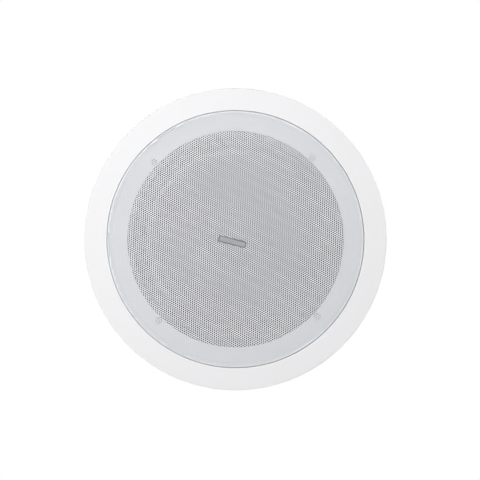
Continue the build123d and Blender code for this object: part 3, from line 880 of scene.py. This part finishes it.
def edit_faces(piece):
    """Open a piece for edits on its faces, with everything selected."""
    activate(piece)
    bpy.context.tool_settings.mesh_select_mode = (False, False, True)
    bpy.ops.object.mode_set(mode="EDIT")
    bpy.ops.mesh.select_all(action="SELECT")


def select_faces(piece, chosen):
    """Open a piece for edits with only the chosen faces selected."""
    edit_faces(piece)
    bpy.ops.mesh.select_all(action="DESELECT")
    bpy.ops.object.mode_set(mode="OBJECT")
    piece.data.polygons.foreach_set("select", chosen)
    bpy.ops.object.mode_set(mode="EDIT")


bpy.ops.object.select_all(action="DESELECT")
bpy.ops.mesh.primitive_circle_add(vertices=hole_sides, radius=cell_radius, fill_type="NGON")
sheet = bpy.context.active_object
edit_faces(sheet)
bpy.ops.mesh.inset(thickness=(hole_pitch - hole_width) / 2)
bpy.ops.mesh.delete(type="FACE")
bpy.ops.object.mode_set(mode="OBJECT")
for offset, count in (
    ((hole_pitch / 2, row_step, 0), 2),
    ((hole_pitch, 0, 0), column_count),
    ((0, 2 * row_step, 0), row_count),
):
    apply_modifier(
        sheet,
        "ARRAY",
        count=count,
        use_relative_offset=False,
        use_constant_offset=True,
        constant_offset_displace=offset,
    )
middle_column = column_count // 2
middle_row = row_count // 2
centring = Matrix.Translation((-middle_column * hole_pitch, -middle_row * 2 * row_step, 0))
stretch = Matrix.Diagonal((1.0, row_pitch / row_step, 1.0, 1.0))
turn = Matrix.Rotation(row_angle, 4, "Z")
shift = Matrix.Translation(row_shift + Vector((0, 0, grille_low.z)))
sheet.data.transform(shift @ turn @ stretch @ centring)
cells = rows(sheet.data.polygons, "center").reshape(-1, hole_sides, 3).mean(axis=1)
outside = np.hypot(cells[:, 0], cells[:, 1]) > hole_reach
select_faces(sheet, np.repeat(outside, hole_sides))
bpy.ops.mesh.delete(type="FACE")
bpy.ops.mesh.select_all(action="SELECT")
bpy.ops.mesh.remove_doubles(threshold=weld_gap)
bpy.ops.object.mode_set(mode="OBJECT")


def rim_loop(mesh):
    """Corners of the longest open edge of a sheet, in order round it: its rim and not one of its holes."""
    uses = np.zeros(len(mesh.loops), np.int64)
    mesh.loops.foreach_get("edge_index", uses)
    ends = np.zeros(len(mesh.edges) * 2, np.int64)
    mesh.edges.foreach_get("vertices", ends)
    open_edges = ends.reshape(-1, 2)[np.bincount(uses, minlength=len(mesh.edges)) == 1]
    beside = {}
    for first, second in open_edges.tolist():
        beside.setdefault(first, []).append(second)
        beside.setdefault(second, []).append(first)
    loops = []
    while beside:
        corner = next(iter(beside))
        loop = []
        while corner is not None:
            loop.append(corner)
            nearby = beside.pop(corner)
            corner = next((other for other in nearby if other in beside), None)
        loops.append(loop)
    return max(loops, key=len)


def select_corners(piece, corners):
    """Open a piece for edits with only some of its corners, and the edges between them, selected."""
    edit_faces(piece)
    bpy.ops.mesh.select_all(action="DESELECT")
    bpy.context.tool_settings.mesh_select_mode = (True, False, False)
    bpy.ops.object.mode_set(mode="OBJECT")
    chosen = np.zeros(len(piece.data.vertices), bool)
    chosen[corners] = True
    piece.data.vertices.foreach_set("select", chosen)
    bpy.ops.object.mode_set(mode="EDIT")
    bpy.context.tool_settings.mesh_select_mode = (False, True, False)


rim = rim_loop(sheet.data)
rim_places = rows(sheet.data.vertices, "co")[rim]
angles = np.unwrap(np.arctan2(rim_places[:, 1], rim_places[:, 0]))
if angles[-1] < angles[0]:
    rim_places = rim_places[::-1]
    angles = angles[::-1]
even = np.linspace(0, 2 * math.pi, len(rim), endpoint=False)
drift = np.sort(angles) - even
near = np.concatenate((drift[-rim_neighbours:], drift, drift[:rim_neighbours]))
near_count = 2 * rim_neighbours + 1
angles = even + np.convolve(near, np.full(near_count, 1 / near_count), mode="valid")
select_corners(sheet, rim)
bpy.ops.mesh.extrude_edges_move()
bpy.ops.object.mode_set(mode="OBJECT")
outer_rim = rim_loop(sheet.data)
for corner in outer_rim:
    vertex = sheet.data.vertices[corner]
    angle = angles[np.argmin(np.linalg.norm(rim_places - np.array(vertex.co), axis=1))]
    vertex.co = (ring_radii[0] * math.cos(angle), ring_radii[0] * math.sin(angle), grille_low.z)
select_corners(sheet, outer_rim)
for ring, next_ring in zip(ring_radii, ring_radii[1:]):
    bpy.ops.mesh.extrude_edges_move()
    bpy.ops.transform.resize(value=(next_ring / ring, next_ring / ring, 1.0), center_override=(0, 0, 0))
bpy.ops.mesh.select_all(action="SELECT")
bpy.ops.mesh.normals_make_consistent(inside=False)
bpy.ops.object.mode_set(mode="OBJECT")
if sheet.data.polygons[0].normal.z > 0:
    edit_faces(sheet)
    bpy.ops.mesh.flip_normals()
    bpy.ops.object.mode_set(mode="OBJECT")
places = rows(sheet.data.vertices, "co")
radius = np.hypot(places[:, 0], places[:, 1])
past_flat = np.maximum(radius - flat_radius, 0.0)
bend = np.minimum(past_flat / grille_round, math.pi / 2)
new_radius = np.minimum(radius, flat_radius) + grille_round * np.sin(bend)
places[:, :2] *= (new_radius / radius)[:, None]
places[:, 2] += grille_round * (1 - np.cos(bend)) + np.maximum(past_flat - round_arc, 0.0)
sheet.data.vertices.foreach_set("co", places.ravel())
sheet.data.transform(Matrix.Translation(pan_shift))
sheet.data.update()
powder_coat = finish(
    "white_powder_coat",
    dark=(0.902, 0.930, 0.960),
    light=(0.922, 0.950, 0.976),
    roughness=(0.34, 0.5),
    grain=1700.0,
    cloud=16.0,
    bump=0.02 * mm,
)
strips = [sheet]
for name, sign in (("grille_left", -1), ("grille_right", 1)):
    select_faces(sheet, sign * rows(sheet.data.polygons, "center")[:, 0] > strip_edge)
    bpy.ops.mesh.separate(type="SELECTED")
    bpy.ops.object.mode_set(mode="OBJECT")
    strip = [piece for piece in bpy.context.selected_objects if piece != sheet][0]
    strip.name = name
    strips.append(strip)
sheet.name = "grille_middle"
for strip in strips:
    apply_modifier(strip, "SOLIDIFY", thickness=grille_sheet, offset=-1.0)
    smooth(strip, grille_crease)
    settle(strip, powder_coat, "white_sheet", "grille")

# Badge: a small bare plate of anodised aluminium, glued to the grille at a slant.
# A narrow line is sunk into its face just inside the border, and painted dark as painted shade for the
# shadow along the plate's edge.
badge_low, badge_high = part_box("badge_plate")
badge_length = 20.0 * mm
badge_width = 5.0 * mm
badge_corner = 0.8 * mm
badge_border = 0.45 * mm
badge_line = 0.5 * mm
badge_sunk = 0.1 * mm
badge_turn = math.radians(15.6)
anodised = finish(
    "anodised_plate",
    dark=(0.26, 0.27, 0.28),
    light=(0.31, 0.32, 0.33),
    roughness=(0.42, 0.55),
    grain=1800.0,
    cloud=240.0,
    bump=0.008 * mm,
    metallic=0.25,
    stretch=(0.1, 1.0, 1.0),
)
# Painted shade: the sunk line's dark paint stands for the shadow and gap along the plate's edge.
groove_shade_paint = finish(
    "groove_shade_paint",
    dark=(0.05, 0.05, 0.055),
    light=(0.08, 0.08, 0.085),
    roughness=(0.5, 0.65),
    grain=1800.0,
    cloud=500.0,
    bump=0.008 * mm,
)
bpy.ops.object.select_all(action="DESELECT")
bpy.ops.mesh.primitive_plane_add(size=1.0)
badge = bpy.context.active_object
badge.name = "badge_bare_plate"
badge.scale = (badge_length, badge_width, 1.0)
bpy.ops.object.transform_apply(scale=True)
edit_faces(badge)
bpy.ops.mesh.flip_normals()
bpy.ops.mesh.bevel(offset=badge_corner, segments=5, affect="VERTICES")
bpy.ops.mesh.select_all(action="SELECT")
bpy.ops.mesh.extrude_region_move(TRANSFORM_OT_translate={"value": (0, 0, badge_low.z - badge_high.z)})
bpy.ops.mesh.inset(thickness=badge_border)
bpy.ops.mesh.extrude_region_move(TRANSFORM_OT_translate={"value": (0, 0, badge_sunk)})
bpy.ops.mesh.inset(thickness=badge_line)
bpy.ops.mesh.extrude_region_move(TRANSFORM_OT_translate={"value": (0, 0, -badge_sunk)})
bpy.ops.mesh.select_all(action="SELECT")
bpy.ops.mesh.normals_make_consistent(inside=False)
bpy.ops.object.mode_set(mode="OBJECT")
badge_middle = (badge_low + badge_high) / 2
spot = Matrix.Translation((badge_middle.x, badge_middle.y, badge_high.z))
badge.data.transform(spot @ Matrix.Rotation(badge_turn, 4, "Z"))
settle(badge, anodised, "badge", "badge_plate")
badge.data.materials.append(groove_shade_paint)
# The faces at the bottom of the sunk line get the painted shade.
groove = badge_low.z + badge_sunk
for face in badge.data.polygons:
    if abs(face.normal.z) > 0.9 and abs(face.center.z - groove) < badge_sunk / 10:
        face.material_index = 1

# Stage: a white floor under the face, seen from above only, soft lamps on both sides, and the camera.
# The speaker hangs in front of the camera, which looks up at its face as the photograph does.
# The floor fades to plain white away from the speaker, and the world shows white behind it.
floor_radius = 4.0
floor_drop = 0.5 * mm
floor_colour = (0.90, 0.90, 0.90, 1.0)
fade_start = 0.25
fade_end = 0.9
room_white = (1.0, 1.0, 1.0, 1.0)
light_below = 0.22
light_above = 0.9
camera_distance = 2.0
frame_width = 0.3336
sensor_width = 36.0
camera_shift = Vector((3.10 * mm, 0.62 * mm, 0.0))
camera_roll = math.radians(1.6)
bpy.ops.object.select_all(action="DESELECT")
bpy.ops.mesh.primitive_circle_add(
    vertices=96,
    radius=floor_radius,
    fill_type="NGON",
    location=(0, 0, -floor_drop),
)
floor = bpy.context.active_object
floor.name = "floor"
floor.visible_shadow = False
floor.visible_diffuse = False
floor.visible_glossy = False
floor.visible_transmission = False
floor_white = bpy.data.materials.new("floor_white")
floor_white.use_nodes = True
nodes = floor_white.node_tree.nodes
links = floor_white.node_tree.links
nodes.clear()
paint = nodes.new("ShaderNodeBsdfDiffuse")
paint.inputs["Color"].default_value = floor_colour
glow = nodes.new("ShaderNodeEmission")
glow.inputs["Strength"].default_value = 1.0
place = nodes.new("ShaderNodeTexCoord")
reach = nodes.new("ShaderNodeVectorMath")
reach.operation = "LENGTH"
fade = nodes.new("ShaderNodeMapRange")
fade.interpolation_type = "SMOOTHSTEP"
fade.inputs["From Min"].default_value = fade_start
fade.inputs["From Max"].default_value = fade_end
away = nodes.new("ShaderNodeMixShader")
clear = nodes.new("ShaderNodeBsdfTransparent")
geometry = nodes.new("ShaderNodeNewGeometry")
under = nodes.new("ShaderNodeMixShader")
output = nodes.new("ShaderNodeOutputMaterial")
links.new(place.outputs["Object"], reach.inputs[0])
links.new(reach.outputs["Value"], fade.inputs["Value"])
links.new(fade.outputs["Result"], away.inputs["Fac"])
links.new(paint.outputs["BSDF"], away.inputs[1])
links.new(glow.outputs["Emission"], away.inputs[2])
links.new(geometry.outputs["Backfacing"], under.inputs["Fac"])
links.new(away.outputs["Shader"], under.inputs[1])
links.new(clear.outputs["BSDF"], under.inputs[2])
links.new(under.outputs["Shader"], output.inputs["Surface"])
floor.data.materials.append(floor_white)
for name, place, size, power in (
    ("key_below", (-0.170, -0.180, -0.80), 0.5, 4.9),
    ("fill_below", (0.62, 0.33, -0.80), 0.1, 0.9),
    ("key_above", (0.9, -0.9, 1.3), 0.8, 5.0),
    ("fill_above", (-1.0, 0.8, 1.0), 0.8, 2.4),
):
    light = bpy.data.lights.new(name, "AREA")
    light.size = size
    light.energy = power
    lamp = bpy.data.objects.new(name, light)
    lamp.location = place
    lamp.rotation_euler = (-Vector(place)).to_track_quat("-Z", "Y").to_euler()
    lamp.visible_camera = False
    bpy.context.scene.collection.objects.link(lamp)
world = bpy.data.worlds.new("white_room")
bpy.context.scene.world = world
world.use_nodes = True
nodes = world.node_tree.nodes
links = world.node_tree.links
nodes.clear()
seen = nodes.new("ShaderNodeBackground")
seen.inputs["Color"].default_value = room_white
seen.inputs["Strength"].default_value = 1.0
ambient = nodes.new("ShaderNodeBackground")
ambient.inputs["Color"].default_value = room_white
rise = nodes.new("ShaderNodeTexCoord")
split = nodes.new("ShaderNodeSeparateXYZ")
level = nodes.new("ShaderNodeMapRange")
level.inputs["From Min"].default_value = -0.5
level.inputs["From Max"].default_value = 0.0
level.inputs["To Min"].default_value = light_below
level.inputs["To Max"].default_value = light_above
path = nodes.new("ShaderNodeLightPath")
either = nodes.new("ShaderNodeMath")
either.operation = "MAXIMUM"
any_seen = nodes.new("ShaderNodeMath")
any_seen.operation = "MAXIMUM"
choice = nodes.new("ShaderNodeMixShader")
output = nodes.new("ShaderNodeOutputWorld")
links.new(rise.outputs["Generated"], split.inputs["Vector"])
links.new(split.outputs["Z"], level.inputs["Value"])
links.new(level.outputs["Result"], ambient.inputs["Strength"])
links.new(path.outputs["Is Camera Ray"], either.inputs[0])
links.new(path.outputs["Is Glossy Ray"], either.inputs[1])
links.new(either.outputs["Value"], any_seen.inputs[0])
links.new(path.outputs["Is Transmission Ray"], any_seen.inputs[1])
links.new(any_seen.outputs["Value"], choice.inputs["Fac"])
links.new(ambient.outputs["Background"], choice.inputs[1])
links.new(seen.outputs["Background"], choice.inputs[2])
links.new(choice.outputs["Shader"], output.inputs["Surface"])
camera_data = bpy.data.cameras.new("photo_camera")
camera_data.sensor_width = sensor_width
camera_data.lens = sensor_width * camera_distance / frame_width
camera = bpy.data.objects.new("photo_camera", camera_data)
camera.location = camera_shift + Vector((0, 0, -camera_distance))
camera.rotation_euler = (math.pi, 0.0, camera_roll)
bpy.context.scene.collection.objects.link(camera)
bpy.context.scene.camera = camera
bpy.context.scene.view_settings.view_transform = "Standard"
